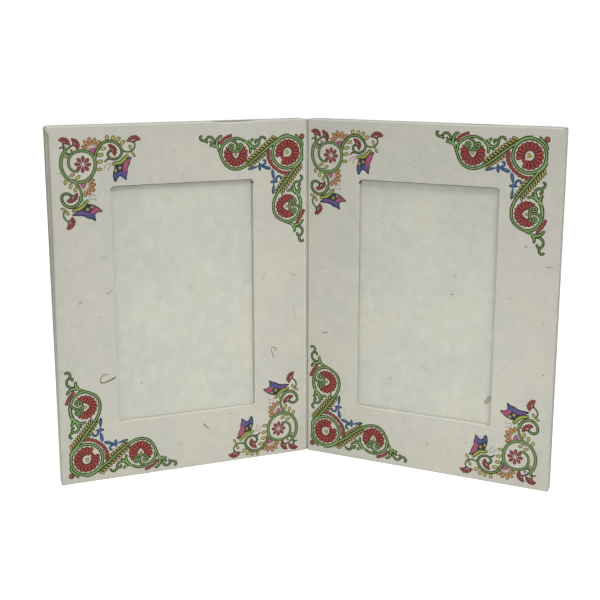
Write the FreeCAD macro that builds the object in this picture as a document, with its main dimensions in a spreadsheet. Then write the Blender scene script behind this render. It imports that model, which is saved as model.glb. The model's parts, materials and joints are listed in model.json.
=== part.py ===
"""Hinged double photo frame: two paper-covered board leaves joined by a folded paper strip.

Each leaf is a sandwich. A board with a window is wrapped in printed handmade paper, three card
spacers leave a slot that is open at the top, and a lined backing board closes the back.

Leaf frame: X runs across the leaf from its centre line, Y is depth from the front face
towards the back, Z is height from the bottom edge. The part's frame has its origin on the
ground under the middle of the open frame, and both leaves swing about one upright line.
"""
import FreeCAD, Part
import os
import re

import Sketcher

Vector = FreeCAD.Vector

# Driving dimensions, in millimetres and degrees
SIZES = {
    "photo_width": 102,
    "photo_height": 152,
    "photo_clearance": 2,
    "side_lap": 7,
    "sill_lap": 4,
    "border_width": 36,
    "board_thickness": 2,
    "paper_thickness": 0.25,
    "spacer_thickness": 1,
    "glue_gap": 0.05,
    "corner_radius": 1.5,
    "edge_radius": 0.8,
    "window_corner_radius": 2,
    "window_edge_radius": 0.4,
    "turn_in_clearance": 1,
    "back_flap_width": 14,
    "slot_flap_height": 12,
    "mitre_gap": 0.2,
    "backing_inset": 3,
    "joint_gap": 1.2,
    "face_gap": 0.2,
    "fold_setback": 0.5,
    "fold_clearance": 0.03,
    "fold_radius": 0.5,
    "strip_inset": 1,
    "opening_angle": 130.8,
    "overrun": 1,
}

# Lengths worked out from the driving ones, and from each other
DERIVED = {
    "window_width": "(photo_width - 2 * side_lap)",
    "window_height": "(photo_height - 2 * sill_lap)",
    "leaf_width": "(window_width + 2 * border_width)",
    "leaf_height": "(window_height + 2 * border_width)",
    "half_leaf": "(leaf_width / 2)",
    "half_window": "(window_width / 2)",
    "window_bottom": "border_width",
    "window_top": "(leaf_height - border_width)",
    "half_slot": "((photo_width + photo_clearance) / 2)",
    "side_turn_in": "(half_slot - half_window - turn_in_clearance)",
    "sill_turn_in": "(sill_lap - turn_in_clearance)",
    "board_back": "(paper_thickness + board_thickness)",
    "turn_in_back": "(board_back + paper_thickness)",
    "spacer_back": "(board_back + spacer_thickness)",
    "lining_back": "(spacer_back + paper_thickness)",
    "backing_back": "(lining_back + board_thickness)",
    "wrap_depth": "(backing_back + paper_thickness)",
    "leaf_depth": "(wrap_depth + paper_thickness)",
    "board_inset": "(paper_thickness + glue_gap)",
    "half_board": "(half_leaf - board_inset)",
    "board_top": "(leaf_height - board_inset)",
    "half_flap": "(half_slot - glue_gap)",
    "inner_corner": "(corner_radius - paper_thickness)",
    "inner_edge": "(edge_radius - paper_thickness)",
    "flap_bottom": "(leaf_height - paper_thickness - slot_flap_height)",
    "hinge_offset": "(joint_gap / 2)",
    "turn": "(90 - opening_angle / 2)",
    "hinge_y": "(((2 * hinge_offset + leaf_width) * sin(turn)"
               " - (face_gap + leaf_depth) * cos(turn)) / 2)",
}

doc = FreeCAD.newDocument("double_photo_frame")
sheet = doc.addObject("Spreadsheet::Sheet", "Dimensions")
for row, (alias, size) in enumerate(SIZES.items(), start=1):
    sheet.set(f"A{row}", alias)
    sheet.set(f"B{row}", str(size))
    sheet.setAlias(f"B{row}", alias)
doc.recompute()


def spelled_out(text, cell):
    """A length written in words, with each derived name replaced and cell(alias) for each size."""
    def word(match):
        name = match.group()
        if name in DERIVED:
            return spelled_out(DERIVED[name], cell)
        return cell(name) if name in SIZES else name
    return re.sub(r"[a-z_]+", word, text)


def bind(thing, prop, text):
    """Tie a property to the sheet."""
    thing.setExpression(prop, spelled_out(text, lambda alias: f"Dimensions.{alias}"))


def number(text):
    """The same length as a number, used only to draw a sketch near its solved place."""
    plain = spelled_out(text, lambda alias: str(float(sheet.get(alias))))
    return FreeCAD.Units.parseQuantity(plain).Value


# Sketches


def sketch_in(body, role, name, offset):
    """A sketch on one of the body's own origin planes, moved off it by offset."""
    sketch = body.newObject("Sketcher::SketchObject", f"{body.Name}_{name}")
    plane = [f for f in body.Origin.OriginFeatures if f.Role == role]
    sketch.AttachmentSupport = [(plane[0], "")]
    sketch.MapMode = "FlatFace"
    bind(sketch, "AttachmentOffset.Base.z", offset)
    return sketch


def at_depth(body, name, depth):
    """A sketch that faces the viewer, depth behind the leaf's front face."""
    return sketch_in(body, "XZ_Plane", name, f"-{depth}")


def measure(sketch, kind, first, second, text):
    """A horizontal or vertical dimension from the first point to the second."""
    index = sketch.addConstraint(Sketcher.Constraint(kind, *first, *second, number(text)))
    sketch.renameConstraint(index, f"size_{index}")
    bind(sketch, f"Constraints.size_{index}", text)


ORIGIN = (-1, 1)


def place_point(sketch, point, x, y):
    """Fix a point at x and y, each a (sign, length) pair, so that no dimension is negative."""
    for kind, (sign, text) in (("DistanceX", x), ("DistanceY", y)):
        ends = (ORIGIN, point) if sign > 0 else (point, ORIGIN)
        measure(sketch, kind, *ends, text)


def place_height(sketch, point, text):
    if text == "0":
        sketch.addConstraint(Sketcher.Constraint("PointOnObject", *point, -1))
    else:
        measure(sketch, "DistanceY", ORIGIN, point, text)


def polygon(sketch, points):
    """A closed outline of straight lines. Each point is ((sign, length), (sign, length))."""
    spots = [Vector(sx * number(tx), sy * number(ty), 0) for (sx, tx), (sy, ty) in points]
    first, count = sketch.GeometryCount, len(spots)
    for n in range(count):
        sketch.addGeometry(Part.LineSegment(spots[n], spots[(n + 1) % count]), False)
    for n in range(count):
        following = first + (n + 1) % count
        sketch.addConstraint(Sketcher.Constraint("Coincident", first + n, 2, following, 1))
        place_point(sketch, (first + n, 1), *points[n])


def rectangle(sketch, left, right, bottom, top):
    polygon(sketch, [(left, bottom), (right, bottom), (right, top), (left, top)])


def rounded_rectangle(sketch, half_width, bottom, top, radius):
    """A rectangle about the leaf's centre line, with its four corners rounded."""
    half, low, high, r = number(half_width), number(bottom), number(top), number(radius)
    corners = [(half, low), (half, high), (-half, high), (-half, low)]
    inward = [(-1, 1), (-1, -1), (1, -1), (1, 1)]
    spots = []
    for n, ((x, y), (ix, iy)) in enumerate(zip(corners, inward)):
        before, after = Vector(x + ix * r, y, 0), Vector(x, y + iy * r, 0)
        if n % 2:
            before, after = after, before
        spots.append((before, after, Vector(x + ix * r, y + iy * r, 0)))
    for n in range(4):
        sketch.addGeometry(Part.LineSegment(spots[n - 1][1], spots[n][0]), False)
    for n, (before, after, centre) in enumerate(spots):
        circle = Part.Circle(centre, Vector(0, 0, 1), r)
        sketch.addGeometry(
            Part.ArcOfCircle(circle, circle.parameter(before), circle.parameter(after)), False)
    for n in range(4):
        sketch.addConstraint(Sketcher.Constraint("Tangent", n, 2, 4 + n, 1))
        sketch.addConstraint(Sketcher.Constraint("Tangent", 4 + n, 2, (n + 1) % 4, 1))
        sketch.addConstraint(Sketcher.Constraint("Vertical" if n % 2 else "Horizontal", n))
    for n in range(5, 8):
        sketch.addConstraint(Sketcher.Constraint("Equal", 4, n))
    index = sketch.addConstraint(Sketcher.Constraint("Radius", 4, r))
    sketch.renameConstraint(index, "corner")
    bind(sketch, "Constraints.corner", radius)
    measure(sketch, "DistanceX", ORIGIN, (1, 1), half_width)
    measure(sketch, "DistanceX", (3, 1), ORIGIN, half_width)
    place_height(sketch, (0, 1), bottom)
    place_height(sketch, (2, 1), top)


# Features


def new_body(name):
    body = doc.addObject("PartDesign::Body", name)
    body.Label = name
    return body


def pad(body, sketch, length, towards_back=True):
    """Grow the sketch by length. A sketch that faces the viewer grows towards the back."""
    feature = body.newObject("PartDesign::Pad", f"{sketch.Name}_pad")
    feature.Profile = sketch
    feature.Reversed = towards_back
    bind(feature, "Length", length)
    doc.recompute()
    return feature


def pocket(body, sketch, length):
    """Cut the sketch towards the back, and make sure that something was cut."""
    before = body.Shape.Volume
    feature = body.newObject("PartDesign::Pocket", f"{sketch.Name}_pocket")
    feature.Profile = sketch
    bind(feature, "Length", length)
    doc.recompute()
    if not body.Shape.Volume < before:
        raise ValueError(f"{feature.Name} cuts nothing")
    return feature


def fillet(body, name, wanted, radius):
    """Round the edges that wanted(edge) picks."""
    base = body.Tip
    edges = [f"Edge{n}" for n, e in enumerate(base.Shape.Edges, start=1) if wanted(e)]
    feature = body.newObject("PartDesign::Fillet", f"{body.Name}_{name}")
    feature.Base = (base, edges)
    bind(feature, "Radius", radius)
    doc.recompute()
    return feature


NEAR = 1e-4


def lies_at_depth(edge, depth):
    box = edge.BoundBox
    return abs(box.YMin - depth) < NEAR and abs(box.YMax - depth) < NEAR


def runs_along(edge, axis, place):
    """Is the edge straight, along axis, through place in the other two directions?"""
    ends = [v.Point for v in edge.Vertexes]
    if len(ends) != 2 or abs((ends[1] - ends[0]).normalize().dot(axis)) < 1 - NEAR:
        return False
    offset = ends[0] - place
    return (offset - axis * offset.dot(axis)).Length < NEAR


# Pieces of one leaf


def front_cover(name):
    """Printed paper, wrapped over the front, round three sides and onto the back.

    Its window flaps are cut to the corners and turned in behind the board, its top flap is
    turned down into the slot, and its bottom corners are mitred on the back.
    """
    body = new_body(name)
    outline = at_depth(body, "outline", "0")
    rounded_rectangle(outline, "half_leaf", "0", "leaf_height", "corner_radius")
    pad(body, outline, "wrap_depth")
    rims = [0, number("wrap_depth")]
    fillet(body, "soft_edges", lambda e: any(lies_at_depth(e, y) for y in rims), "edge_radius")

    inside = at_depth(body, "inside", "paper_thickness")
    rounded_rectangle(inside, "half_leaf - paper_thickness", "paper_thickness",
                      "leaf_height - paper_thickness", "inner_corner")
    pocket(body, inside, "backing_back - paper_thickness")
    rims = [number("paper_thickness"), number("backing_back")]
    fillet(body, "inner_edges", lambda e: any(lies_at_depth(e, y) for y in rims), "inner_edge")

    back = at_depth(body, "back_opening", "backing_back")
    side = "half_leaf - back_flap_width"
    rectangle(back, (-1, side), (1, side), (1, "back_flap_width"), (1, "leaf_height + overrun"))
    pocket(body, back, "paper_thickness + overrun")

    mouth = at_depth(body, "slot_mouth", "turn_in_back")
    side = "half_leaf - paper_thickness"
    rectangle(mouth, (-1, side), (1, side),
              (1, "leaf_height - paper_thickness"), (1, "leaf_height + overrun"))
    pocket(body, mouth, "wrap_depth")

    wall = at_depth(body, "window_wall", "0")
    rounded_rectangle(wall, "half_window + paper_thickness", "window_bottom - paper_thickness",
                      "window_top + paper_thickness", "window_corner_radius + paper_thickness")
    pad(body, wall, "turn_in_back")

    flaps = at_depth(body, "window_flaps", "board_back")
    low, high = "window_bottom", "window_top"
    polygon(flaps, [
        ((-1, "half_window"), (1, low)),
        ((-1, "half_window - sill_turn_in"), (1, f"{low} - sill_turn_in")),
        ((1, "half_window - sill_turn_in"), (1, f"{low} - sill_turn_in")),
        ((1, "half_window"), (1, low)),
        ((1, "half_window + side_turn_in"), (1, f"{low} + side_turn_in")),
        ((1, "half_window + side_turn_in"), (1, f"{high} - side_turn_in")),
        ((1, "half_window"), (1, high)),
        ((1, "half_window - side_turn_in"), (1, f"{high} + side_turn_in")),
        ((-1, "half_window - side_turn_in"), (1, f"{high} + side_turn_in")),
        ((-1, "half_window"), (1, high)),
        ((-1, "half_window + side_turn_in"), (1, f"{high} - side_turn_in")),
        ((-1, "half_window + side_turn_in"), (1, f"{low} + side_turn_in")),
    ])
    pad(body, flaps, "paper_thickness")

    flap = at_depth(body, "slot_flap", "board_back")
    rectangle(flap, (-1, "half_flap"), (1, "half_flap"), (1, "flap_bottom"),
              (1, "leaf_height - paper_thickness"))
    pad(body, flap, "paper_thickness")

    window = at_depth(body, "window", "0")
    rounded_rectangle(window, "half_window", "window_bottom", "window_top",
                      "window_corner_radius")
    pocket(body, window, "turn_in_back + overrun")
    half = number("half_window") + NEAR
    fillet(body, "window_edge",
           lambda e: lies_at_depth(e, 0) and max(-e.BoundBox.XMin, e.BoundBox.XMax) < half,
           "window_edge_radius")

    mitres = at_depth(body, "mitres", "backing_back")
    start, run = "corner_radius", "back_flap_width"
    for sign in (-1, 1):
        polygon(mitres, [
            ((sign, f"half_leaf - {start} - mitre_gap"), (1, start)),
            ((sign, f"half_leaf - {start}"), (1, f"{start} + mitre_gap")),
            ((sign, f"half_leaf - {start} - {run}"), (1, f"{start} + mitre_gap + {run}")),
            ((sign, f"half_leaf - {start} - mitre_gap - {run}"), (1, f"{start} + {run}")),
        ])
    pocket(body, mitres, "paper_thickness + overrun")
    return body


def board(name, front, soft_depth):
    """A board cut a little smaller than its wrapping, with the edges at soft_depth rounded."""
    body = new_body(name)
    outline = at_depth(body, "outline", front)
    rounded_rectangle(outline, "half_board", "board_inset", "board_top", "inner_corner")
    pad(body, outline, "board_thickness")
    depth = number(soft_depth)
    fillet(body, "soft_edges", lambda e: lies_at_depth(e, depth), "inner_edge")
    return body


def front_board(name):
    """The board behind the printed paper, with the window cut out of it."""
    body = board(name, "paper_thickness", "paper_thickness")
    window = at_depth(body, "window", "paper_thickness")
    rounded_rectangle(window, "half_window + board_inset", "window_bottom - board_inset",
                      "window_top + board_inset", "window_corner_radius + paper_thickness")
    pocket(body, window, "board_thickness + overrun")
    return body


def back_board(name):
    return board(name, "lining_back", "backing_back")


def side_spacer(name, sign):
    """A card strip that keeps the slot open beside the photograph."""
    body = new_body(name)
    strip = at_depth(body, "strip", "board_back")
    sides = ((sign, "half_slot"), (sign, "half_board"))
    rectangle(strip, *sides, (1, "board_inset"), (1, "board_top"))
    pad(body, strip, "spacer_thickness")
    depth = Vector(0, 1, 0)
    heights = number("board_inset"), number("board_top")
    corners = [Vector(sign * number("half_board"), 0, z) for z in heights]
    fillet(body, "corners", lambda e: any(runs_along(e, depth, c) for c in corners), "inner_corner")
    return body


def bottom_spacer(name):
    """The card strip that the photograph stands on."""
    body = new_body(name)
    strip = at_depth(body, "strip", "board_back")
    side = "half_slot - glue_gap"
    rectangle(strip, (-1, side), (1, side), (1, "board_inset"), (1, "window_bottom - sill_lap"))
    pad(body, strip, "spacer_thickness")
    return body


def lining_paper(name):
    """The paper seen in the empty window, notched at the top for the backing paper's flap."""
    body = new_body(name)
    outline = at_depth(body, "outline", "spacer_back")
    rounded_rectangle(outline, "half_board", "board_inset", "board_top", "inner_corner")
    pad(body, outline, "paper_thickness")
    notch = at_depth(body, "notch", "spacer_back")
    rectangle(notch, (-1, "half_slot"), (1, "half_slot"), (1, "flap_bottom - glue_gap"),
              (1, "leaf_height + overrun"))
    pocket(body, notch, "paper_thickness + overrun")
    return body


def back_cover(name):
    """The backing sheet, pressed down inside the front paper's flaps, over the top edge
    and down into the slot."""
    body = new_body(name)
    side = "half_leaf - backing_inset"
    rim = at_depth(body, "rim", "wrap_depth")
    rectangle(rim, (-1, side), (1, side), (1, "backing_inset"), (1, "leaf_height"))
    pad(body, rim, "paper_thickness")
    dip_side = "half_leaf - back_flap_width - paper_thickness"
    dip = at_depth(body, "dip", "wrap_depth")
    rectangle(dip, (-1, dip_side), (1, dip_side), (1, "back_flap_width + paper_thickness"),
              (1, "leaf_height + overrun"))
    pocket(body, dip, "paper_thickness + overrun")
    panel_side = "half_leaf - back_flap_width"
    panel = at_depth(body, "panel", "backing_back")
    rectangle(panel, (-1, panel_side), (1, panel_side), (1, "back_flap_width"), (1, "leaf_height"))
    pad(body, panel, "paper_thickness")
    fold = at_depth(body, "top_fold", "lining_back")
    rectangle(fold, (-1, side), (1, side), (1, "leaf_height - paper_thickness"),
              (1, "leaf_height"))
    pad(body, fold, "wrap_depth - lining_back")
    flap = at_depth(body, "slot_flap", "spacer_back")
    rectangle(flap, (-1, "half_flap"), (1, "half_flap"), (1, "flap_bottom"), (1, "leaf_height"))
    pad(body, flap, "paper_thickness")
    return body


def hinge_strip(name, sign):
    """Half of the paper strip that joins the leaves, from its fold to a leaf's end.

    Its own frame has X from the hinge line towards the leaf.
    """
    body = new_body(name)
    section = sketch_in(body, "XY_Plane", "section", "strip_inset")
    fold, back, glued = "fold_setback", "wrap_depth - edge_radius", "hinge_offset"
    polygon(section, [
        ((sign, "fold_clearance"), (1, fold)),
        ((sign, glued), (1, fold)),
        ((sign, glued), (1, back)),
        ((sign, f"{glued} - paper_thickness"), (1, back)),
        ((sign, f"{glued} - paper_thickness"), (1, f"{fold} + paper_thickness")),
        ((sign, "fold_clearance"), (1, f"{fold} + paper_thickness")),
    ])
    pad(body, section, "leaf_height - 2 * strip_inset", towards_back=False)
    up = Vector(0, 0, 1)
    outer = Vector(sign * number(glued), number(fold), 0)
    inner = outer + Vector(-sign, 1, 0) * number("paper_thickness")
    fillet(body, "outer_bend", lambda e: runs_along(e, up, outer), "fold_radius")
    fillet(body, "inner_bend", lambda e: runs_along(e, up, inner),
           "fold_radius - paper_thickness")
    return body


def put(body, sign, across):
    """Turn a piece of a leaf about the hinge line, across being its place along the leaf."""
    turned = f"create(<<rotation>>; create(<<vector>>; 0; 0; 1); {-sign} * turn)"
    leaf_place = f"create(<<vector>>; {sign} * ({across}); face_gap / 2; 0)"
    hinge_place = "create(<<vector>>; 0; hinge_y; 0)"
    bind(body, "Placement",
         f"create(<<placement>>; {hinge_place}; {turned})"
         f" * create(<<placement>>; {leaf_place}; create(<<rotation>>; 0; 0; 0))")


# Both leaves

pieces = []
for leaf, sign in (("left", -1), ("right", 1)):
    in_leaf = [
        front_cover(f"{leaf}_front_cover"),
        front_board(f"{leaf}_front_board"),
        side_spacer(f"{leaf}_outer_spacer", sign),
        side_spacer(f"{leaf}_hinge_spacer", -sign),
        bottom_spacer(f"{leaf}_bottom_spacer"),
        lining_paper(f"{leaf}_lining_paper"),
        back_board(f"{leaf}_back_board"),
        back_cover(f"{leaf}_back_cover"),
    ]
    for body in in_leaf:
        put(body, sign, "hinge_offset + half_leaf")
    strip = hinge_strip(f"{leaf}_hinge_strip", sign)
    put(strip, sign, "0")
    pieces += in_leaf + [strip]
doc.recompute()

for thing in doc.Objects:
    if {"Invalid", "Error"} & set(thing.State):
        raise ValueError(f"{thing.Name} failed: {thing.State}")
for body in pieces:
    shape = body.Shape
    if shape.isNull() or not shape.isValid() or len(shape.Solids) != 1:
        raise ValueError(f"{body.Label} isn't one sound solid")

os.makedirs("parts", exist_ok=True)
for body in pieces:
    body.Shape.exportStep(f"parts/{body.Label}.step")
    box = body.Shape.BoundBox
    print(f"{body.Label}: {body.Shape.Volume:.0f} mm3, Z {box.ZMin:.2f} to {box.ZMax:.2f}")
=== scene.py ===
"""Looks of a standing double photo frame: two leaves in handmade paper, on a paper hinge.

Leaf coordinates are millimetres: x from the leaf's left edge as the viewer sees it, depth from
its front face towards its back, z up from the surface it stands on.
"""

import json
import math
import random

import bmesh
import bpy
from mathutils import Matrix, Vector, noise
from mathutils.geometry import tessellate_polygon


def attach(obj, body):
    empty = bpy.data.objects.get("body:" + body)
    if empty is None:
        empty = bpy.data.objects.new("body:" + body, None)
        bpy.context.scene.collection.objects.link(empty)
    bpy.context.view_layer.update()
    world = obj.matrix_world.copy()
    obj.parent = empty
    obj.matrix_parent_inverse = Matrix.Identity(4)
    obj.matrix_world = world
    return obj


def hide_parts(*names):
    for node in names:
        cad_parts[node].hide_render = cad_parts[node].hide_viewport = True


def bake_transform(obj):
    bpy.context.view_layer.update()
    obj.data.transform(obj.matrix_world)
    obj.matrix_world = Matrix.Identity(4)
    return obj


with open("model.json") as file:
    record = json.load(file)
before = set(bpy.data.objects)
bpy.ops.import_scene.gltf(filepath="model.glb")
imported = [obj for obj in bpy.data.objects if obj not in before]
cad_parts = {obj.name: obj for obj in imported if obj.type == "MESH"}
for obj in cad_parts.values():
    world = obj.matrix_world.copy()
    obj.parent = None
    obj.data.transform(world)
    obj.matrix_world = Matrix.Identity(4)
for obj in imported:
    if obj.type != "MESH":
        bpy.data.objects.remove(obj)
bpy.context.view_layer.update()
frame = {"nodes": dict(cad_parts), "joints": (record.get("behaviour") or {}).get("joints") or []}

# Sizes of a leaf, in millimetres
MM = 0.001
LEAF_WIDTH = 160.0
LEAF_HEIGHT = 216.0
BORDER = 36.0
PAPER = 0.25
BOARD = 2.0
GLUE_GAP = 0.05
SLOT_GAP = 1.0
BOARD_BACK = PAPER + BOARD
TURN_IN_BACK = BOARD_BACK + PAPER
LINING_FRONT = BOARD_BACK + SLOT_GAP
WRAP_DEPTH = LINING_FRONT + 2 * PAPER + BOARD
CORNER_RADIUS = 1.5
EDGE_RADIUS = 0.8
FOLD_RADIUS = 0.25
WINDOW_CORNER = 2.4
WINDOW_EDGE = 0.45
BACK_FLAP = 14.0
SLOT_FLAP = 12.25
HALF_SLOT = 52.0
CORNER_CAP = 3.0

# Handwork and wear, in millimetres
FRONT_WAVE = 0.12
EDGE_WAVE = 0.03
RIM_WAVE = 0.16
SAG_ZONE = 9.0
PRESSED_IN = 1.8
PRESSED_OVER = 200.0
CREASE_DROP = 4.6
CREASE_SLANT = 0.62
CREASE_DEPTH = 0.05
MARK_LIFT = 0.008
LINING_MARK_LIFT = 0.34

# Rows of the cover's grid, from its back flap to its turn-in at the window
FLAP_ROWS, BACK_EDGE_ROWS, SIDE_ROWS, EDGE_ROWS, FRONT_ROWS, RIM_ROWS = 5, 5, 9, 6, 20, 6
TURN_IN_ROWS = 11
CORNER_STEPS = 8

# Rows that can have another material than the printed paper's: painted shade on the left leaf's
# outer side, and painted light by the edges
SIDE_SHADE_ROWS = range(9, 21)
BY_EDGE = range(17, 25)
LIT_LINES = (18, 20)

# How the leaves stand
_, HINGE_Y, _ = frame["joints"][0]["pos_m"]
TURN = math.radians(24.6)
HINGE_OFFSET = 0.6
FACE_OFFSET = 0.1


def smooth(low, high, value):
    t = min(max((value - low) / (high - low), 0.0), 1.0)
    return t * t * (3 - 2 * t)


def wander(x, z, seed, reach):
    """A slow, smooth noise between -1 and 1 that changes over about `reach` mm."""
    return noise.noise(Vector((x / reach, z / reach, seed)))


class Leaf:
    """One leaf: where its points lie, and how its hand-made surface departs from flat."""

    def __init__(self, name, sign, seed, window_shift, sag):
        self.name, self.sign, self.seed = name, sign, seed
        self.window_shift, self.sag = window_shift, sag
        self.body = f"{name}_leaf"

    def place(self, x, depth, z):
        along = HINGE_OFFSET + (x if self.sign > 0 else LEAF_WIDTH - x)
        back = depth + FACE_OFFSET
        across = self.sign * (along * math.cos(TURN) + back * math.sin(TURN))
        return Vector((across, HINGE_Y / MM - along * math.sin(TURN) + back * math.cos(TURN),
                       z)) * MM

    def sink(self, x, z):
        """How far the front paper lies behind its flat face."""
        return FRONT_WAVE * (0.5 + 0.5 * wander(x, z, self.seed, reach=38))

    def dip(self, x):
        """How far the front panel's top edge has sagged here."""
        deepest, begins, full, ending, ends = self.sag
        return deepest * (smooth(begins, full, x) * (1 - smooth(ending, ends, x)))

    def settle(self, x, z):
        """The height of a point of the front panel once its top edge has sagged."""
        return z - self.dip(x) * smooth(LEAF_HEIGHT - SAG_ZONE, LEAF_HEIGHT, z)


# Each leaf's name, side, seed and window's place off centre, and the sag of its top edge: how
# deep, and where along the edge it begins, is full, begins to end and ends
LEAVES = (Leaf("left", -1, 3.0, 0.9, (0.95, 98, 105, 116, 134)),
          Leaf("right", 1, 19.0, -1.1, (0.25, 96, 104, 112, 124)))


# Mesh helpers

def new_object(name, points, faces, materials=(), shades=None, smooth_faces=True):
    mesh = bpy.data.meshes.new(name)
    mesh.from_pydata([tuple(p) for p in points], [], faces)
    for material in materials:
        mesh.materials.append(material)
    if shades:
        mesh.polygons.foreach_set("material_index", shades)
    mesh.polygons.foreach_set("use_smooth", [smooth_faces] * len(mesh.polygons))
    mesh.update()
    piece = bpy.data.objects.new(name, mesh)
    bpy.context.scene.collection.objects.link(piece)
    return piece


def grid_faces(columns, rows, ring=False, tube=False, back=False):
    """Faces between the points of a grid, which are listed column by column."""
    faces = []
    for column in range(columns if ring else columns - 1):
        here, there = column * rows, (column + 1) % columns * rows
        for row in range(rows if tube else rows - 1):
            up = (row + 1) % rows
            face = (here + row, there + row, there + up, here + up)
            faces.append(face[:1] + face[:0:-1] if back else face)
    return faces


def give_thickness(piece, thickness):
    """Turns a sheet into a thin solid that lies behind its outer surface."""
    solid = piece.modifiers.new("thickness", "SOLIDIFY")
    solid.thickness = thickness * MM
    solid.offset = -1
    bpy.context.view_layer.update()
    shaped = piece.evaluated_get(bpy.context.evaluated_depsgraph_get())
    mesh = bpy.data.meshes.new_from_object(shaped)
    piece.modifiers.clear()
    piece.data = mesh
    mesh.update()


def soften_normals(piece, sharp_angle=math.radians(60)):
    mesh = piece.data
    edit = bmesh.new()
    edit.from_mesh(mesh)
    for edge in edit.edges:
        edge.smooth = len(edge.link_faces) != 2 or edge.calc_face_angle(0) <= sharp_angle
    edit.to_mesh(mesh)
    edit.free()


# Materials

def srgb(red, green, blue):
    def linear(v):
        v /= 255
        return v / 12.92 if v <= 0.04045 else ((v + 0.055) / 1.055) ** 2.4
    return (linear(red), linear(green), linear(blue), 1.0)


class Nodes:
    """Short calls for the few kinds of node that the materials and the world use."""

    def __init__(self, tree):
        self.tree = tree

    def feed(self, socket, value):
        """Gives a socket its number or colour, or a link from another node."""
        if isinstance(value, bpy.types.NodeSocket):
            self.tree.links.new(value, socket)
        else:
            socket.default_value = value

    def add(self, kind, sockets, **settings):
        node = self.tree.nodes.new(f"ShaderNode{kind}")
        for name, setting in settings.items():
            setattr(node, name, setting)
        for name, value in sockets.items():
            self.feed(node.inputs[name], value)
        return node

    def place(self, shift):
        """The noises lie in the object's own coordinates, moved by `shift`."""
        coords = self.add("TexCoord", {}).outputs["Object"]
        self.at = self.add("Mapping", {"Vector": coords, "Location": shift}).outputs["Vector"]
        self.height = self.add("SeparateXYZ", {0: coords}).outputs["Z"]

    def noise(self, per_metre, detail=2.0, rough=0.5, distortion=0.0):
        return self.add("TexNoise", {"Vector": self.at, "Scale": per_metre, "Detail": detail,
                                     "Roughness": rough, "Distortion": distortion}).outputs["Fac"]

    def cells(self, per_metre):
        node = self.add("TexVoronoi", {"Vector": self.at, "Scale": per_metre})
        return node.outputs["Distance"], node.outputs["Color"]

    def maths(self, kind, *values):
        return self.add("Math", dict(enumerate(values)), operation=kind).outputs[0]

    def span(self, value, low, high, to_low=0.0, to_high=1.0):
        sockets = {"Value": value, "From Min": low, "From Max": high, "To Min": to_low,
                   "To Max": to_high}
        return self.add("MapRange", sockets, interpolation_type="SMOOTHSTEP").outputs["Result"]

    def mix(self, share, first, second, kind="MIX"):
        return self.add("Mix", {0: share, 6: first, 7: second}, data_type="RGBA",
                        blend_type=kind).outputs[2]

    def bump(self, height, strength, distance):
        return self.add("Bump", {"Height": height, "Strength": strength,
                                 "Distance": distance}).outputs["Normal"]

    def surface(self, colour, normal, roughness, specular):
        shader = self.tree.nodes["Principled BSDF"]
        for name, value in (("Base Color", colour), ("Normal", normal),
                            ("Roughness", roughness), ("Specular IOR Level", specular)):
            self.feed(shader.inputs[name], value)

    def fibres(self, per_metre, width, patches):
        """Thin lines where a distorted noise crosses its middle, kept in scattered patches."""
        field = self.noise(per_metre, 1.0, 0.5, 1.6)
        away = self.maths("ABSOLUTE", self.maths("SUBTRACT", field, 0.5))
        line = self.span(away, 0.0, width, 1.0, 0.0)
        patch = self.span(self.noise(patches, 1.0), 0.54, 0.62)
        return self.maths("MULTIPLY", line, patch)


def new_material(name, shift=None):
    """A material and its nodes, with a place for noises where `shift` is given."""
    material = bpy.data.materials.new(name)
    material.use_nodes = True
    n = Nodes(material.node_tree)
    if shift:
        n.place(shift)
    return material, n


def paper(name, light, warm, cool, shift, fleck_share=0.5, clouds=0.55, lit_foot=None):
    """Handmade paper: clouded, with pale and brown fibres, small flecks and a soft tooth.

    foot is a lighter colour that it takes on towards the ground: painted light from the floor.
    """
    pale_fibre, dark_fibre, fleck = srgb(226, 224, 212), srgb(128, 116, 92), srgb(112, 98, 78)
    material, n = new_material(name, shift)
    colour = n.mix(n.span(n.noise(30, 3.0), 0.3, 0.7), srgb(*cool), srgb(*warm))
    colour = n.mix(n.span(n.noise(150, 4.0, 0.6), 0.35, 0.75, 0.0, clouds), colour, srgb(*light))
    if lit_foot:
        colour = n.mix(n.span(n.height, 0.03, 0.15, 1.0, 0.0), colour, srgb(*lit_foot))
    pulp = n.span(n.noise(1500, 3.0, 0.6), 0.25, 0.75, 0.955, 1.035)
    colour = n.mix(1.0, colour, pulp, "MULTIPLY")
    pale = n.fibres(210, 0.012, 60)
    dark = n.fibres(320, 0.0045, 45)
    colour = n.mix(n.maths("MULTIPLY", pale, 0.35), colour, pale_fibre)
    colour = n.mix(n.maths("MULTIPLY", dark, 0.42), colour, dark_fibre)
    distance, chance = n.cells(150)
    speck = n.maths("MULTIPLY", n.span(distance, 0.03, 0.07, 1.0, 0.0),
                    n.span(chance, 0.80, 0.84))
    colour = n.mix(n.maths("MULTIPLY", speck, fleck_share), colour, fleck)
    tooth = n.maths("ADD", n.maths("MULTIPLY", n.noise(900, 4.0, 0.65), 0.5),
                    n.maths("MULTIPLY", n.noise(120, 2.0), 1.4))
    tooth = n.maths("ADD", tooth, n.maths("MULTIPLY", pale, 0.25))
    n.surface(colour, n.bump(tooth, 0.32, 0.00022), roughness=0.86, specular=0.22)
    return material


def ink(name, full, thin):
    """Printed ink: it clouds a little where the paper took less of it."""
    material, n = new_material(name, (0.3, 0.1, 0.2))
    cover = n.span(n.noise(420, 3.0, 0.6), 0.32, 0.72)
    grain = n.span(n.noise(2600, 2.0), 0.2, 0.8, 0.9, 1.08)
    colour = n.mix(1.0, n.mix(cover, srgb(*full), srgb(*thin)), grain, "MULTIPLY")
    tooth = n.bump(n.noise(900, 4.0, 0.65), 0.22, 0.00018)
    n.surface(colour, tooth, roughness=0.8, specular=0.25)
    return material


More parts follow.
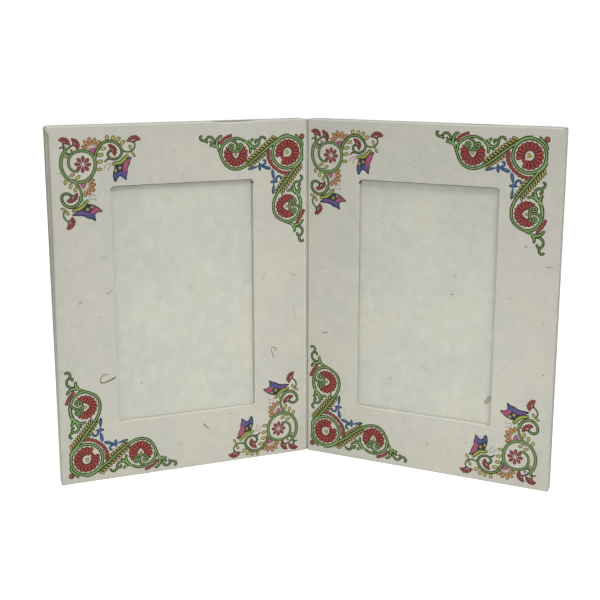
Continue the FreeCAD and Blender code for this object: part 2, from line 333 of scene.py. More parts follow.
def greyboard(name, base, fleck):
    """Grey pulp board, with the specks and layers of recycled fibre."""
    material, n = new_material(name, (0, 0, 0))
    colour = n.mix(n.span(n.noise(700, 4.0, 0.7), 0.3, 0.7), srgb(*base), srgb(*fleck))
    n.surface(colour, n.bump(n.noise(1100, 3.0), 0.3, 0.0002), roughness=0.92, specular=0.15)
    return material


PRINTED = paper("printed_handmade_paper", (206, 204, 192), (199, 196, 183), (193, 192, 182),
                (0.11, 0.27, 0.05))
PLAIN = paper("plain_handmade_paper", (209, 209, 198), (202, 201, 187), (194, 195, 187),
              (0.71, 0.33, 0.48), 0.35, 0.66)
BACKING = paper("backing_handmade_paper", (204, 201, 188), (196, 193, 179), (190, 189, 178),
                (0.91, 0.13, 0.68))
RIM = paper("shaded_window_rim", (92, 88, 70), (78, 74, 58), (66, 62, 50), (0.3, 0.2, 0.6))
# Painted shade: the left leaf's outer side is darker where little light reaches it, and lighter
# towards the ground as painted light from the floor
SIDE_SHADE_PAPER = paper("painted_shade_side_paper", (186, 182, 169), (178, 175, 162), (172, 169, 158),
             (0.11, 0.27, 0.05), lit_foot=(222, 220, 208))
GLEAM = paper("lit_edge_paper", (226, 224, 213), (221, 218, 206), (217, 216, 207),
              (0.11, 0.27, 0.05))
BOARD_GREY = greyboard("greyboard", (150, 146, 136), (128, 122, 110))
CARD_GREY = greyboard("spacer_card", (164, 158, 144), (140, 132, 116))

INK_COLOURS = {
    "line": ((44, 44, 18), (60, 60, 32)),
    "green": ((100, 134, 74), (112, 148, 90)),
    "light": ((126, 166, 98), (138, 178, 112)),
    "vine": ((100, 124, 76), (112, 134, 88)),
    "shade": ((70, 88, 46), (84, 100, 60)),
    "glow": ((122, 144, 98), (132, 154, 110)),
    "moss": ((78, 114, 64), (92, 126, 78)),
    "bark": ((58, 54, 42), (80, 74, 60)),
    "olive": ((112, 108, 58), (134, 128, 78)),
    "lime": ((122, 144, 54), (138, 160, 74)),
    "red": ((140, 50, 46), (154, 62, 56)),
    "scarlet": ((158, 60, 54), (170, 74, 66)),
    "deep": ((120, 52, 50), (134, 64, 60)),
    "brick": ((146, 68, 64), (158, 82, 78)),
    "maroon": ((68, 38, 30), (88, 56, 44)),
    "daisy": ((118, 48, 52), (132, 62, 64)),
    "orange": ((162, 118, 72), (174, 132, 90)),
    "peach": ((186, 136, 84), (196, 150, 102)),
    "sienna": ((98, 66, 38), (120, 88, 58)),
    "yellow": ((158, 151, 76), (170, 163, 94)),
    "straw": ((182, 174, 110), (192, 184, 128)),
    "rope": ((154, 140, 74), (166, 152, 92)),
    "khaki": ((78, 74, 32), (96, 92, 50)),
    "pink": ((156, 74, 102), (170, 88, 116)),
    "mauve": ((158, 82, 120), (172, 102, 138)),
    "violet": ((100, 70, 124), (116, 86, 136)),
    "blue": ((62, 76, 118), (78, 90, 130)),
    "steel": ((44, 76, 108), (58, 92, 124)),
    "sky": ((62, 102, 140), (82, 118, 152)),
    "navy": ((34, 46, 66), (52, 64, 82)),
    "teal": ((36, 48, 52), (54, 66, 66)),
    "ash": ((190, 184, 178), (198, 194, 186)),
    "feeler": ((104, 104, 92), (124, 122, 110)),
    "fibre": ((118, 96, 68), (140, 120, 90)),
    "fleck": ((104, 98, 82), (128, 122, 104)),
    "spot": ((156, 128, 84), (170, 144, 102)),
    "speck": ((70, 64, 52), (88, 80, 66)),
    "dim": ((160, 156, 140), (170, 166, 150)),
    "smudge": ((182, 179, 165), (188, 185, 171)),
    "haze": ((191, 189, 177), (196, 194, 182)),
    "bloom": ((210, 209, 198), (207, 206, 194)),
}
INKS = {name: ink(f"ink_{name}", *colours) for name, colours in INK_COLOURS.items()}
EDGE_INKS = {"yellow": "khaki", "rope": "line", "olive": "khaki", "orange": "sienna",
             "red": "maroon", "deep": "maroon", "daisy": "maroon", "mauve": "maroon",
             "steel": "navy", "bark": "bark", "vine": "shade"}


# The covers: a sheet swept round the leaf

def shares(count):
    return [i / count for i in range(count)]


def quarter(count):
    """Sine and cosine at each step of a quarter turn."""
    angles = [share * math.pi / 2 for share in shares(count)]
    return [(math.sin(angle), math.cos(angle)) for angle in angles]


def spread(length, count):
    """Places along a side, close together near both of its ends."""
    fine, step = 8.0, 0.45
    ends = [i * step for i in range(int(fine / step))]
    middle = [fine + (length - 2 * fine) * i / count for i in range(count)]
    return [v / length for v in ends + middle + [length - v for v in reversed(ends[1:])]]


def stations(leaf):
    """Places round a leaf, as (outer point, way in, window point, way out, side)."""
    r, w = CORNER_RADIUS, WINDOW_CORNER
    wide, tall = LEAF_WIDTH, LEAF_HEIGHT
    low = BORDER + w
    left, right = low + leaf.window_shift, wide - low + leaf.window_shift
    corners = ((wide - r, tall - r, right, tall - low), (r, tall - r, left, tall - low),
               (r, r, left, low), (wide - r, r, right, low))
    names = ("right", "top", "left", "bottom")
    counts = (76, 56, 76, 56)
    out = []
    for k, (name, count) in enumerate(zip(names, counts)):
        (before, window_before), (after, window_after) = (
            (Vector(corner[:2]), Vector(corner[2:])) for corner in (corners[k - 1], corners[k]))
        turn = k * math.pi / 2
        facing = Vector((math.cos(turn), math.sin(turn)))
        for share in spread((after - before).length, count):
            out.append((before.lerp(after, share) + facing * r, -facing,
                        window_before.lerp(window_after, share) + facing * w, facing, name))
        for share in shares(CORNER_STEPS):
            angle = turn + share * math.pi / 2
            now = Vector((math.cos(angle), math.sin(angle)))
            out.append((after + now * r, -now, window_after + now * w, now, f"{name}_corner"))
    return out


def wrap(outer):
    """How deep the sheet goes at this place, its back edge's radius, and where its flap ends."""
    wide, tall = LEAF_WIDTH, LEAF_HEIGHT
    x, z = outer
    over_slot = z > tall - 0.01 and CORNER_CAP < x < wide - CORNER_CAP
    if over_slot:
        reach = SLOT_FLAP if abs(x - wide / 2) < HALF_SLOT - 0.1 else 2 * FOLD_RADIUS
        return TURN_IN_BACK, FOLD_RADIUS, Vector((x, z - reach))
    inner_x = min(max(x, BACK_FLAP), wide - BACK_FLAP)
    inner_z = min(max(z, BACK_FLAP), tall - CORNER_CAP)
    return WRAP_DEPTH, EDGE_RADIUS, Vector((inner_x, inner_z))


def crease(leaf, x, depth, z):
    """The corner fold on the outer side: below its slanting edge one layer is missing."""
    outer_side = x < 1 if leaf.sign < 0 else x > LEAF_WIDTH - 1
    if not outer_side:
        return 0.0
    edge = LEAF_HEIGHT - CREASE_DROP + CREASE_SLANT * depth
    return CREASE_DEPTH * (1 - smooth(edge - 0.35, edge, z)) * smooth(0.1, 0.6, depth)


def worn(leaf, outer):
    """How far the left leaf's outer edge has been pressed in from the front, near its top."""
    if leaf.sign > 0 or outer.x > 0.01:
        return 0.0
    corner = LEAF_HEIGHT - CORNER_RADIUS
    near_top = smooth(corner - 4.0, corner - 0.2, outer.y)
    return PRESSED_IN * smooth(0, PRESSED_OVER, outer.y) * (1 - near_top)


def trim(leaf, outer):
    """How much narrower than square the leaf was cut along its outer side."""
    from_side = outer.x if leaf.sign < 0 else LEAF_WIDTH - outer.x
    drop = 1 - outer.y / LEAF_HEIGHT
    width = 0.1 + 0.06 * drop
    return width * (1 - smooth(0.0, CORNER_RADIUS, from_side))


def cover_points(leaf, station):
    """The rows of one station, from the flap's end, round the edge, to the window's turn-in."""
    outer, inward, window, outward, _ = station
    deep, radius, flap_end = wrap(outer)
    lean = worn(leaf, outer)
    bend = EDGE_RADIUS + 0.3 * lean
    rows = []

    def add(point, depth, on_front=0.0):
        x, z = point
        if on_front:
            depth += leaf.sink(x, z) * on_front
        rows.append(leaf.place(x, depth, leaf.settle(x, z)))

    wave = EDGE_WAVE * (1 + wander(*outer, leaf.seed + 31, reach=24))
    edge = outer + inward * (wave + trim(leaf, outer))
    start = edge + inward * radius
    for share in shares(FLAP_ROWS):
        add(flap_end.lerp(start, share), deep)
    for sine, cosine in quarter(BACK_EDGE_ROWS):
        add(edge + inward * radius * (1 - sine), deep - radius * (1 - cosine))
    top = deep - radius
    for share in shares(SIDE_ROWS):
        depth = top + (bend - top) * share
        fold = crease(leaf, edge.x, depth, edge.y)
        pressed = lean * min(max((BOARD_BACK - depth) / (BOARD_BACK - bend), 0.0), 1.0)
        add(edge + inward * (fold + pressed), depth)
    edge = edge + inward * lean
    for sine, cosine in quarter(EDGE_ROWS):
        add(edge + inward * bend * (1 - cosine), bend * (1 - sine), sine)
    rim = window + outward * RIM_WAVE * wander(*window, leaf.seed + 53, reach=9)
    first, last = edge + inward * bend, rim + outward * WINDOW_EDGE
    for share in shares(FRONT_ROWS):
        add(first.lerp(last, share), 0.0, 1.0)
    add(last + outward * (0.5 + 0.35 * wander(*window, leaf.seed + 71, reach=8)), 0.0, 1.0)
    for sine, cosine in quarter(RIM_ROWS):
        add(rim + outward * WINDOW_EDGE * (1 - sine), WINDOW_EDGE * (1 - cosine), cosine)
    bevel, turn_in = 0.18, 2.8
    for depth in (WINDOW_EDGE, 1.0, 1.6, TURN_IN_BACK - bevel):
        add(rim, depth)
    for reach in (bevel, turn_in):
        add(rim + outward * reach, TURN_IN_BACK)
    return rows


def cover_shade(leaf, side, row, rows):
    """Which of the cover's materials a face has: printed, painted shade at the window's top rim,
    painted shade on the side, painted light by the edges.
    """
    on_left = leaf.sign < 0
    at_window, at_edge = row >= rows - TURN_IN_ROWS, row in BY_EDGE
    if at_window and side in ("right_corner", "top", "top_corner"):
        return 1
    # Painted shade: the left leaf's outer side is darker where less light reaches it
    if on_left and side == "left" and row in SIDE_SHADE_ROWS:
        return 2
    lit = {"bottom": at_window, "top": at_edge, "right": at_edge if on_left else row in LIT_LINES}
    return 3 if lit.get(side) else 0


def front_cover(leaf):
    around = stations(leaf)
    columns = [cover_points(leaf, station) for station in around]
    rows = len(columns[0])
    points = [p for column in columns for p in column]
    shades = [cover_shade(leaf, station[-1], row, rows)
              for station in around for row in range(rows - 1)]
    piece = new_object(f"{leaf.name}_printed_cover", points,
                       grid_faces(len(columns), rows, ring=True), [PRINTED, RIM, SIDE_SHADE_PAPER, GLEAM],
                       shades)
    give_thickness(piece, PAPER * 0.8)
    soften_normals(piece)
    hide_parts(f"{leaf.name}_front_cover")
    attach(piece, leaf.body)


def window_board(leaf):
    """The board behind the printed paper, with the same sagged top edge."""
    inset = PAPER + GLUE_GAP
    wide, tall = LEAF_WIDTH - inset, LEAF_HEIGHT - inset
    shift = leaf.window_shift
    hole = (BORDER - inset + shift, LEAF_WIDTH - BORDER + inset + shift,
            BORDER - inset, LEAF_HEIGHT - BORDER + inset)
    outer = [Vector(p) for p in ((wide, inset), (wide, tall), (inset, tall), (inset, inset))]
    inner = [Vector((hole[i], hole[j])) for i, j in ((1, 2), (1, 3), (0, 3), (0, 2))]
    front, back = inset + FRONT_WAVE, BOARD_BACK - GLUE_GAP
    steps = 40
    points = []
    for side in range(4):
        after = (side + 1) % 4
        for share in shares(steps):
            rim = inner[side].lerp(inner[after], share)
            edge = outer[side].lerp(outer[after], share)
            if edge.x < inset + 0.01:
                edge.x += 1.2 * worn(leaf, Vector((0, min(edge.y, LEAF_HEIGHT - 12))))
            for (x, z), depth in ((edge, front), (rim, front), (rim, back), (edge, back)):
                points.append(leaf.place(x, depth, leaf.settle(x, z)))
    piece = new_object(f"{leaf.name}_window_board", points,
                       grid_faces(len(points) // 4, 4, ring=True, tube=True), [BOARD_GREY],
                       smooth_faces=False)
    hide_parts(f"{leaf.name}_front_board")
    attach(piece, leaf.body)


def lining(leaf):
    """The plain sheet that shows in the empty window: not quite flat."""
    inset, low, notch = 27.3, 28.0, 12.6
    across, up = 52, 78
    points = []
    for j in range(up + 1):
        for i in range(across + 1):
            x = inset + (LEAF_WIDTH - inset - inset) * i / across
            z = low + (LEAF_HEIGHT - PAPER - notch - low) * j / up
            swell = 0.5 + 0.5 * wander(x, z, leaf.seed + 90, reach=30)
            ripple = 0.5 + 0.5 * wander(x, z, leaf.seed + 120, reach=9)
            near = 0.45 * (1 - smooth(BORDER, BORDER + 18, z))
            points.append(leaf.place(x, LINING_FRONT - 0.22 * swell - 0.05 * ripple - near, z))
    piece = new_object(f"{leaf.name}_window_lining", points,
                       grid_faces(up + 1, across + 1, back=True), [PLAIN])
    give_thickness(piece, PAPER)
    soften_normals(piece)
    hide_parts(f"{leaf.name}_lining_paper")
    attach(piece, leaf.body)


def hinge_paper():
    """One strip of paper: glued to both leaves' ends, with its fold set back between them."""
    left, right = LEAVES
    # Each point of the profile: how far over the leaf's end, and how deep
    glued = [(0.05, depth) for depth in (WRAP_DEPTH - EDGE_RADIUS, 3.6, 2.2, 1.3, 0.85)]
    left_side = glued + [(0.03, 0.4), (-0.02, 0.16), (-0.1, 0.07), (-0.3, 0.05),
                         (-0.5, 0.05), (-0.6, 0.07), (-0.66, 0.14), (-0.7, 0.3), (-0.76, 0.8),
                         (-0.9, 2.2)]
    right_side = glued + [(-0.02, 0.8), (-0.12, 1.1)]
    steps, margin = 150, 0.6
    points = []
    for j in range(steps + 1):
        z = margin + (LEAF_HEIGHT - 2 * margin) * j / steps
        shake = 0.05 * wander(0, z, 61.0, reach=17)
        points += [left.place(LEAF_WIDTH - over, depth + shake, z) for over, depth in left_side]
        points += [right.place(over, depth + shake, z) for over, depth in reversed(right_side)]
    piece = new_object("hinge_paper", points,
                       grid_faces(steps + 1, len(left_side + right_side), back=True), [PRINTED])
    give_thickness(piece, PAPER * 0.6)
    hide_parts("left_hinge_strip", "right_hinge_strip")
    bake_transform(piece)


# Print: strokes and shapes of ink, painted one over another

LAYER = 0.0026  # from one layer of ink to the next
LOWEST = 0.012  # from the paper to the lowest layer
TURNS = 6  # shapes of one layer that follow each other at heights of their own
FACET = 1.6  # a face's longest edge
PETAL_STEPS = 12
FAN_STEPS = 14


def path(*tenths):
    """Points in millimetres, from their numbers in a row and in tenths of a millimetre."""
    return [(a / 10, b / 10) for a, b in zip(tenths[::2], tenths[1::2])]


def flowing(points, parts=6, closed=False):
    """A smooth line through given points."""
    pts = [Vector(p) for p in points]
    count = len(pts)
    out = []
    for i in range(count if closed else count - 1):
        if closed:
            a, b, c, d = (pts[(i + k) % count] for k in (-1, 0, 1, 2))
        else:
            b, c = pts[i], pts[i + 1]
            a = pts[i - 1] if i else b * 2 - c
            d = pts[i + 2] if i + 2 < count else c * 2 - b
        for k in range(parts):
            t = k / parts
            out.append(0.5 * (2 * b + (c - a) * t + (2 * a - 5 * b + 4 * c - d) * t ** 2
                              + (3 * b - a - 3 * c + d) * t ** 3))
    return out if closed else out + [pts[-1]]


def lengths(line):
    """How far along a line each of its points lies."""
    runs = [0.0]
    for p, q in zip(line, line[1:]):
        runs.append(runs[-1] + (q - p).length)
    return runs


def even(line, count):
    """The same line as `count` points at equal distances."""
    runs = lengths(line)
    out, i = [], 0
    for k in range(count):
        goal = runs[-1] * k / (count - 1)
        while i < len(runs) - 2 and runs[i + 1] < goal:
            i += 1
        step = max(runs[i + 1] - runs[i], 1e-9)
        out.append(line[i].lerp(line[i + 1], min(max((goal - runs[i]) / step, 0.0), 1.0)))
    return out


def arc(centre, radius, start, end, count=25):
    """Points on a circle, with angles in degrees from the right and on downwards."""
    angles = [math.radians(start + (end - start) * k / (count - 1)) for k in range(count)]
    return [(centre[0] + radius * math.cos(angle), centre[1] + radius * math.sin(angle))
            for angle in angles]


def finely(points, faces):
    """Splits long faces, so that a shape follows the paper under it."""
    sheet = bmesh.new()
    corners = [sheet.verts.new((a, b, 0)) for a, b in points]
    for face in faces:
        sheet.faces.new([corners[i] for i in face])
    long = [edge for edge in sheet.edges if edge.calc_length() > FACET]
    while long:
        bmesh.ops.subdivide_edges(sheet, edges=long, cuts=1)
        bmesh.ops.triangulate(sheet, faces=[f for f in sheet.faces if len(f.verts) > 4])
        long = [edge for edge in sheet.edges if edge.calc_length() > FACET]
    sheet.verts.index_update()
    fine = ([vert.co.to_2d() for vert in sheet.verts],
            [tuple(vert.index for vert in face.verts) for face in sheet.faces])
    sheet.free()
    return fine


class Print:
    """Collects flat shapes of ink in a motif's own millimetres (a across, b down)."""

    def __init__(self):
        self.shapes = []
        self.level = 0
        self.turn = 0

    def over(self, layers=3):
        self.level += layers

    def lay(self, colour, points, faces, layer):
        """Adds a shape, with its height in layers: its neighbours' heights differ a little."""
        self.turn = (self.turn + 1) % TURNS
        height = self.level + layer + self.turn / (TURNS + 1)
        self.shapes.append((colour, points, faces, height))

    def ribbon(self, colour, line, halves, layer):
        points, faces = [], []
        for i, p in enumerate(line):
            way = (line[min(i + 1, len(line) - 1)] - line[max(i - 1, 0)]).normalized()
            aside = Vector((-way.y, way.x)) * max(halves[i], 0.01)
            points += [p + aside, p - aside]
            if i:
                faces.append((2 * i - 2, 2 * i - 1, 2 * i + 1, 2 * i))
        self.lay(colour, points, faces, layer)

    def stroke(self, points, width, colour="green", edge=0.48, heart="light", tail=None,
               head=None):
        """A drawn line with dark edges and a pale middle, `head` wide where it begins and
        `tail` where it ends."""
        line = flowing(points)
        runs = lengths(line)
        first, last = head or width, tail or width
        halves = []
        for run in runs:
            share = run / runs[-1]
            half = width + (first - width) * (1 - share) ** 3 + (last - width) * share ** 1.8
            near = min(run, runs[-1] - run)
            halves.append(half / 2 * math.sqrt(min(1.0, 0.3 + 2 * near / half)))
        if edge:
            self.ribbon(EDGE_INKS.get(colour, "line"), line, [h + edge for h in halves], 0)
        self.ribbon(colour, line, [h - min(edge, 0.2) for h in halves], 1)
        if heart:
            self.ribbon(heart, line, [h * 0.34 for h in halves], 2)

    def petal(self, start, end, width, colour, edge=0.26, heart=None, layer=1, fullest=1.5,
              blunt=0.6):
        """A petal or a leaf: narrow at its root and round at its tip."""
        a, b = Vector(start), Vector(end)
        for swell, shade, level in ((edge, EDGE_INKS.get(colour, "line"), layer - 1),
                                    (-0.05, colour, layer)):
            reach = (b - a).normalized() * max(swell, 0)
            ways = [k / PETAL_STEPS for k in range(PETAL_STEPS + 1)]
            line = [(a - reach).lerp(b + reach, t) for t in ways]
            halves = [(width / 2 + swell) * math.sin(math.pi * t ** fullest) ** blunt
                      if 0 < t < 1 else 0 for t in ways]
            self.ribbon(shade, line, halves, level)
        if heart:
            line = [a.lerp(b, 0.4 + 0.05 * k) for k in range(10)]
            halves = [width * 0.24 * math.sin(math.pi * k / 9) for k in range(10)]
            self.ribbon(heart, line, halves, layer + 1)

    def petals(self, colour, edge, heart, *rows):
        """Petals of (root across, root down, tip across, tip down, width) in tenths of a mm."""
        for *ends, width in rows:
            self.petal(*path(*ends), width / 10, colour, edge, heart)

    def patch(self, outline, colour, edge=0.22, curved=True, layer=1):
        points = flowing(outline, 5, True) if curved else [Vector(p) for p in outline]
        faces = tessellate_polygon([[p.to_3d() for p in points]])
        self.lay(colour, *finely(points, [tuple(f) for f in faces]), layer)
        if edge:
            ring = points + [points[0]]
            self.ribbon(EDGE_INKS.get(colour, "line"), ring, [edge] * len(ring), layer - 1)

    def dot(self, centre, across, down, colour, edge=0.2, layer=1):
        outline = [(centre[0] + across * math.cos(k * math.pi / 5),
                    centre[1] + down * math.sin(k * math.pi / 5)) for k in range(10)]
        self.patch(outline, colour, edge, True, layer)

    def flower(self, width, *tenths):
        """A flower from its side: overlapping red petals on a short dark base."""
        root, *tips = (Vector(p) for p in path(*tenths))
        self.stroke([root.lerp(tips[0], 0.4), root, root.lerp(tips[-1], 0.4)], 0.9, "maroon", 0,
                    None)
        for tip in tips:
            self.petal(root.lerp(tip, 0.18), tip, width * 0.92, "deep", 0.26, "brick",
                       fullest=2.3)

    def fan(self, inner, outer, count, bend=0.0):
        """Red petals side by side, from an inner line to an outer one, over a dark ground."""
        inside, outside = (even(flowing(side), 2 * count + 1) for side in (inner, outer))
        for k in range(count):
            a, b = inside[2 * k + 1], outside[2 * k + 1]
            near = (inside[2 * k + 2] - inside[2 * k]).length / 2
            far = (outside[2 * k + 2] - outside[2 * k]).length / 2
            way = (b - a).normalized()
            aside = Vector((-way.y, way.x)) * bend
            for swell, shade, near_share, far_share, level in (
                    (0.34, "maroon", 1.25, 1.12, 0), (0.0, "deep", 0.34, 0.68, 1)):
                tip = b + way * swell
                line, halves = [], []
                for i in range(FAN_STEPS + 1):
                    t = i / FAN_STEPS
                    line.append(a.lerp(tip, t) + aside * math.sin(math.pi * t))
                    half = near * near_share * (1 - t) + far * far_share * t
                    halves.append(half * math.sqrt(max(1 - (max(t - 0.72, 0) / 0.29) ** 2, 0)))
                self.ribbon(shade, line, halves, level)
                if not swell:
                    across = Vector((-way.y, way.x)) * far * 0.16
                    self.ribbon("scarlet", [q + across for q in line[3:FAN_STEPS]],
                                [h * 0.62 for h in halves[3:FAN_STEPS]], 2)

    def rope(self, first, last, reach_first, reach_last, count, width):
        """Slanted straw-coloured leaves along a stem, with dark olive between them."""
        first, last = Vector(first), Vector(last)
        way = (last - first).normalized()
        middle, halves = [], []
        for k in range(count):
            t = k / (count - 1)
            root = first.lerp(last, t)
            reach = Vector(reach_first).lerp(Vector(reach_last), t)
            middle.append(root + reach * 0.45)
            halves.append(abs(way.cross(reach)) * 0.4)
            self.petal(root, root + reach, width - 0.12 * t, "rope", 0.42, "straw",
                       layer=2, fullest=1.0, blunt=0.42)
        self.ribbon("khaki", middle, halves, 0)

    def beads(self, points, count, across):
        """A row of round scallops on a dark band."""
        line = even(flowing(points), count)
        self.ribbon("maroon", line, [across * 0.3] * count, 0)
        for p in line:
            self.dot(p, across / 2, across / 2, "deep", 0.24)
            self.dot(p, across / 5, across / 5, "brick", 0, 2)


def vine_corner():
    """Curling vine with flowers, leaves and two butterflies."""
    p = Print()
    # Side flowers on their stems
    p.stroke(path(48, 56, 45, 70, 47, 85, 53, 103), 0.75, "bark", 0.1, None, 1.1)
    p.stroke(path(106, 69, 88, 78, 70, 90, 58, 106), 0.85, "bark", 0.1, None, 1.1)
    p.stroke(path(49, 86, 34, 83, 22, 86), 0.6, "bark", 0.1, None, 1.0)
    p.stroke(path(48, 84, 56, 76, 62, 74), 0.8, "olive", 0.1, None, 0.5)
    p.flower(1.1, 48, 59, 22, 35, 35, 26, 49, 25, 63, 29, 75, 37, 83, 50, 86, 67)
    p.flower(1.1, 104, 66, 97, 32, 111, 34, 124, 41, 135, 53, 140, 68, 139, 83, 131, 99)
    p.dot((9.0, 10.1), 0.6, 0.7, "olive", 0.2)
    # Leaves, which the vines overlap
    p.petals("yellow", 0.45, "straw", (69, 121, 55, 142, 9), (72, 248, 101, 236, 12),
             (105, 269, 134, 248, 12), (57, 259, 46, 293, 14), (83, 282, 75, 318, 14),
             (111, 306, 101, 339, 14), (224, 216, 262, 215, 12), (228, 177, 269, 168, 14),
             (232, 137, 274, 130, 14), (246, 99, 291, 95, 14), (298, 56, 300, 23, 16),
             (326, 58, 341, 27, 16), (348, 63, 376, 36, 16), (370, 82, 402, 57, 16),
             (446, 116, 430, 83, 11), (442, 120, 461, 151, 9), (52, 445, 17, 431, 9),
             (43, 442, 59, 469, 11))
    # Orange half flowers and their hearts
    p.petals("orange", 0.42, "peach", (189, 92, 151, 80, 14), (195, 82, 164, 49, 16),
             (207, 79, 193, 32, 17), (219, 79, 230, 37, 17), (231, 84, 260, 53, 17),
             (178, 292, 216, 272, 15), (180, 304, 223, 304, 17), (178, 317, 218, 337, 17),
             (171, 325, 190, 360, 16), (159, 334, 162, 370, 15))
    p.patch(path(193, 98, 212, 93, 230, 92, 225, 109, 219, 126, 206, 113), "mauve", 0.26)
    p.patch(path(136, 298, 152, 295, 169, 292, 164, 308, 153, 323, 144, 310), "mauve", 0.26)
    p.over()
    # Vines
    p.stroke(path(
        62, 102, 46, 114, 34, 138, 29, 166, 29, 194, 37, 223, 52, 249, 73, 269, 98, 282,
        119, 302, 133, 328, 140, 358, 139, 382, 142, 400), 1.35, "vine", heart="glow", tail=0.5)
    p.stroke(path(54, 106, 58, 97, 72, 91), 1.3, "vine", heart=None, tail=0.8)
    p.stroke(path(
        134, 366, 130, 390, 115, 412, 90, 425, 63, 425, 42, 412, 28, 392, 24, 371, 31, 354,
        48, 347, 64, 350, 82, 362), 1.1, "moss", tail=0.7)
    p.stroke(path(
        82, 268, 106, 283, 132, 285, 162, 280, 192, 262, 213, 234, 224, 202, 225, 169,
        216, 140, 195, 118, 164, 106, 132, 106, 103, 115, 82, 134, 72, 160, 73, 188, 85, 209,
        105, 221, 130, 219), 1.35, "vine", heart="glow", tail=0.6)
    p.stroke(path(58, 112, 74, 121, 96, 116), 0.8, "moss", 0.2, None)
    p.stroke(path(
        224, 156, 230, 128, 243, 98, 263, 73, 287, 59, 314, 55, 341, 61, 365, 78, 380, 100,
        384, 122, 375, 142, 357, 156, 333, 160, 312, 152, 302, 135, 306, 119, 320, 112), 1.05,
        "moss", tail=0.6)
    p.stroke(path(314, 156, 296, 161, 279, 176), 1.0, "bark", 0.1, None, 0.5)
    p.stroke(path(
        379, 102, 400, 117, 426, 121, 449, 113, 461, 94, 461, 76, 450, 64), 0.85, "moss",
        0.14, None, 0.7)
    p.stroke(path(41, 446, 30, 464, 34, 487, 56, 514), 0.85, "moss", 0.14, None, 0.7)
    p.over()
    # Flowers in and beyond the curls
    p.flower(1.05, 454, 65, 415, 55, 426, 40, 442, 29, 458, 26, 474, 27, 488, 36, 497, 48)
    p.flower(1.1, 320, 110, 309, 73, 324, 74, 339, 82, 351, 94, 356, 109, 353, 126, 345, 140)
    p.flower(1.1, 82, 364, 119, 350, 120, 366, 113, 382, 99, 394, 82, 401, 66, 402, 54, 395)
    p.flower(1.15, 58, 512, 85, 486, 95, 500, 98, 516, 92, 533, 80, 547, 66, 556, 50, 556)
    # Round flower
    for k in range(8):
        angle = math.radians(45 * k - 87)
        way = Vector((math.cos(angle), math.sin(angle)))
        middle = Vector((15.35, 18.3))
        p.petal(middle + way * 1.15, middle + way * 4.75, 1.75, "daisy", 0.26, "brick")
    p.over()
    p.dot((15.35, 18.3), 0.9, 0.9, "ash", 0.2)
    # Butterflies: feelers and wings
    p.stroke(path(324, 189, 302, 188, 285, 195, 278, 209), 0.34, "feeler", 0, None)
    p.stroke(path(319, 197, 306, 207, 300, 222), 0.34, "feeler", 0, None)
    p.stroke(path(179, 389, 199, 387, 210, 383, 222, 391), 0.34, "feeler", 0, None)
    p.stroke(path(180, 378, 194, 367, 208, 359, 216, 366), 0.34, "feeler", 0, None)
    for knob in ((27.8, 20.9), (30.0, 22.2), (22.1, 39.2), (21.6, 36.6)):
        p.dot(knob, 0.35, 0.35, "feeler", 0)
    p.patch(path(
        349, 190, 337, 212, 329, 240, 328, 264, 333, 284, 341, 292, 349, 284, 356, 270,
        370, 260, 386, 270, 405, 285, 408, 266, 414, 242, 415, 221, 421, 206, 428, 190, 432, 174,
        441, 157, 434, 151, 420, 156, 404, 166, 389, 182, 370, 190), "teal", 0.12)
    p.patch(path(
        154, 422, 166, 416, 184, 414, 205, 420, 225, 430, 242, 443, 256, 457, 252, 464,
        239, 463, 223, 468, 214, 476, 214, 490, 217, 513, 209, 513, 193, 503, 173, 498, 153, 486,
        133, 480, 110, 479, 90, 477, 80, 472, 90, 465, 105, 458, 120, 448, 138, 440), "teal", 0.12)
    p.over()
    p.patch(path(
        404, 172, 421, 162, 434, 158, 428, 174, 422, 190, 416, 206, 411, 221, 410, 238,
        395, 234, 386, 223, 389, 204, 393, 186), "pink", 0)
    p.patch(path(
        332, 246, 355, 244, 370, 233, 388, 230, 409, 241, 404, 264, 401, 277, 387, 265,
        370, 253, 352, 264, 345, 280, 339, 284, 334, 268), "blue", 0)
    p.patch(path(
        92, 470, 106, 462, 123, 453, 142, 452, 156, 459, 176, 466, 190, 460, 196, 470,
        178, 482, 158, 476, 134, 472, 109, 473), "violet", 0)
    p.patch(path(
        154, 477, 176, 483, 194, 471, 209, 471, 209, 490, 210, 504, 195, 496, 175, 491),
        "blue", 0, layer=2)
    p.patch(path(
        191, 457, 205, 445, 213, 433, 223, 435, 238, 446, 250, 457, 237, 458, 220, 462,
        208, 470, 194, 467), "pink", 0, layer=2)
    p.patch(path(389, 236, 406, 244, 402, 266, 386, 256, 374, 246), "violet", 0, layer=2)
    for spot, across, down in (((34.4, 22.6), 0.75, 1.1), ((37.0, 21.2), 0.8, 0.95),
                               ((17.1, 44.5), 0.95, 0.95), ((19.7, 43.2), 1.0, 0.75)):
        p.dot(spot, across, down, "spot", 0)
    p.over()
    p.stroke(path(
        421, 137, 406, 154, 390, 170, 373, 182, 356, 184, 341, 186, 325, 191), 2.7, "lime",
        0.34, "yellow", 1.2, 1.2)
    p.stroke(path(
        79, 448, 106, 444, 131, 435, 149, 422, 159, 409, 168, 399, 179, 393), 2.7, "lime",
        0.34, "yellow", 1.2, 1.0)
    return p


